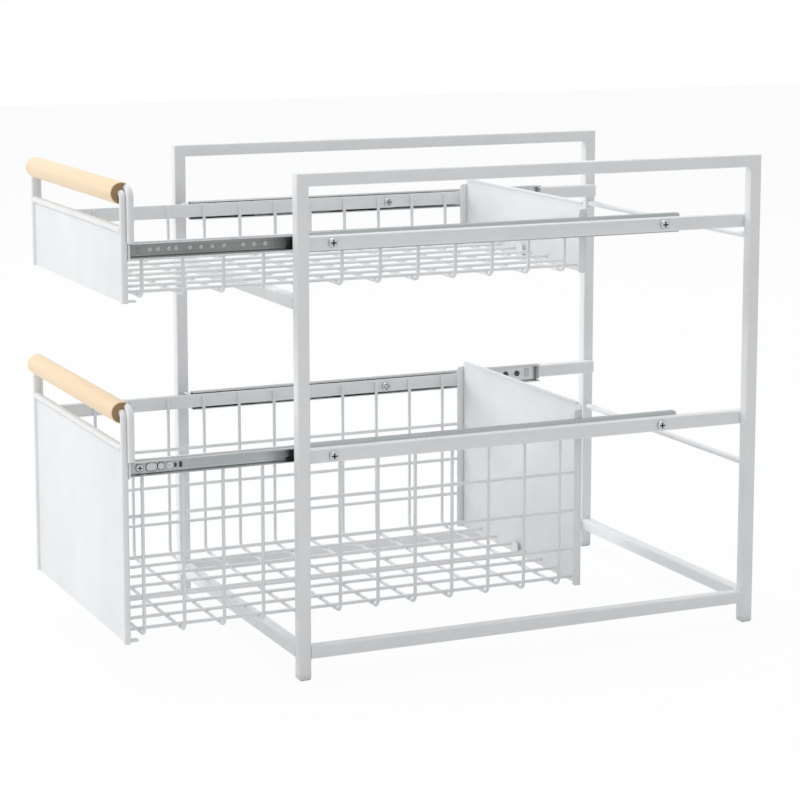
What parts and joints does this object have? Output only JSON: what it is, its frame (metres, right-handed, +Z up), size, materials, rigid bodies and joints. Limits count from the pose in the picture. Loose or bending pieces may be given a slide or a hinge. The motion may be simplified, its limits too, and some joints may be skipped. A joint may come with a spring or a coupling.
{
  "type": "pull-out cabinet basket",
  "caption": "Free-standing square-tube frame with wire baskets above one another, each pulled out by a wooden grip on ball-bearing slides.",
  "frame": {"origin": "on the floor, midway between the sides and midway between the lower grip's front and the frame's back, with the baskets part way out", "axes": "+X to the right seen from the front, +Y towards the back of the cabinet, +Z up"},
  "size_m": [0.318, 0.5982, 0.43],
  "materials": {
    "white_coat": "white powder coat, satin",
    "slide_zinc": "bright zinc plate on cold-rolled steel",
    "slide_dark": "zinc plate in the shade of the channel",
    "cage_steel": "pressed strip, lightly oiled",
    "chrome": "bright plated screws",
    "beech": "clear matt lacquer",
    "foot_plastic": "moulded, pale",
    "black_plastic": "moulded, black"
  },
  "bodies": {
    "frame": {"left_front_post": "white_coat", "left_rear_post": "white_coat", "left_top_rail": "white_coat", "left_bottom_rail": "white_coat", "left_upper_slide_rail": "white_coat", "left_lower_slide_rail": "white_coat", "right_front_post": "white_coat", "right_rear_post": "white_coat", "right_top_rail": "white_coat", "right_bottom_rail": "white_coat", "right_upper_slide_rail": "white_coat", "right_lower_slide_rail": "white_coat", "front_bottom_bar": "white_coat", "rear_bottom_bar": "white_coat", "front_upper_bar": "white_coat", "rear_ties": "white_coat", "foot_caps": "foot_plastic", "rail_screws": "chrome", "upper_left_slide_outer": "slide_zinc", "upper_right_slide_outer": "slide_zinc", "lower_left_slide_outer": "slide_zinc", "lower_right_slide_outer": "slide_zinc"},
    "upper_ball_cages": {"upper_left_ball_cage": "cage_steel", "upper_right_ball_cage": "cage_steel"},
    "upper_basket": {"upper_grip": "beech", "upper_left_leg": "white_coat", "upper_right_leg": "white_coat", "upper_crossbar": "white_coat", "upper_handle_braces": "white_coat", "upper_front_panel": "white_coat", "upper_back_panel": "white_coat", "upper_left_strip": "white_coat", "upper_right_strip": "white_coat", "upper_left_grid": "white_coat", "upper_right_grid": "white_coat", "upper_floor_grid": "white_coat", "upper_left_slide_inner": "slide_dark", "upper_right_slide_inner": "slide_dark", "upper_slide_screws": "chrome", "upper_slide_brackets": "white_coat", "upper_release_levers": "black_plastic"},
    "lower_ball_cages": {"lower_left_ball_cage": "cage_steel", "lower_right_ball_cage": "cage_steel"},
    "lower_basket": {"lower_grip": "beech", "lower_left_leg": "white_coat", "lower_right_leg": "white_coat", "lower_crossbar": "white_coat", "lower_handle_braces": "white_coat", "lower_front_panel": "white_coat", "lower_back_panel": "white_coat", "lower_left_strip": "white_coat", "lower_right_strip": "white_coat", "lower_left_grid": "white_coat", "lower_right_grid": "white_coat", "lower_floor_grid": "white_coat", "lower_left_slide_inner": "slide_dark", "lower_right_slide_inner": "slide_dark", "lower_slide_screws": "chrome", "lower_slide_brackets": "white_coat", "lower_release_levers": "black_plastic"}
  },
  "joints": [
    {"name": "upper_basket_slide", "type": "slide", "parent": "frame", "child": "upper_basket", "axis": [0, -1, 0], "range_m": [-0.139, 0.12]},
    {"name": "upper_cage_slide", "type": "slide", "parent": "frame", "child": "upper_ball_cages", "axis": [0, -1, 0], "range_m": [-0.0695, 0.06]},
    {"name": "lower_basket_slide", "type": "slide", "parent": "frame", "child": "lower_basket", "axis": [0, -1, 0], "range_m": [-0.1415, 0.12]},
    {"name": "lower_cage_slide", "type": "slide", "parent": "frame", "child": "lower_ball_cages", "axis": [0, -1, 0], "range_m": [-0.07075, 0.06]}
  ],
  "couplings": [
    {"joint": "upper_cage_slide", "follows": "upper_basket_slide", "ratio": 0.5},
    {"joint": "lower_cage_slide", "follows": "lower_basket_slide", "ratio": 0.5}
  ]
}
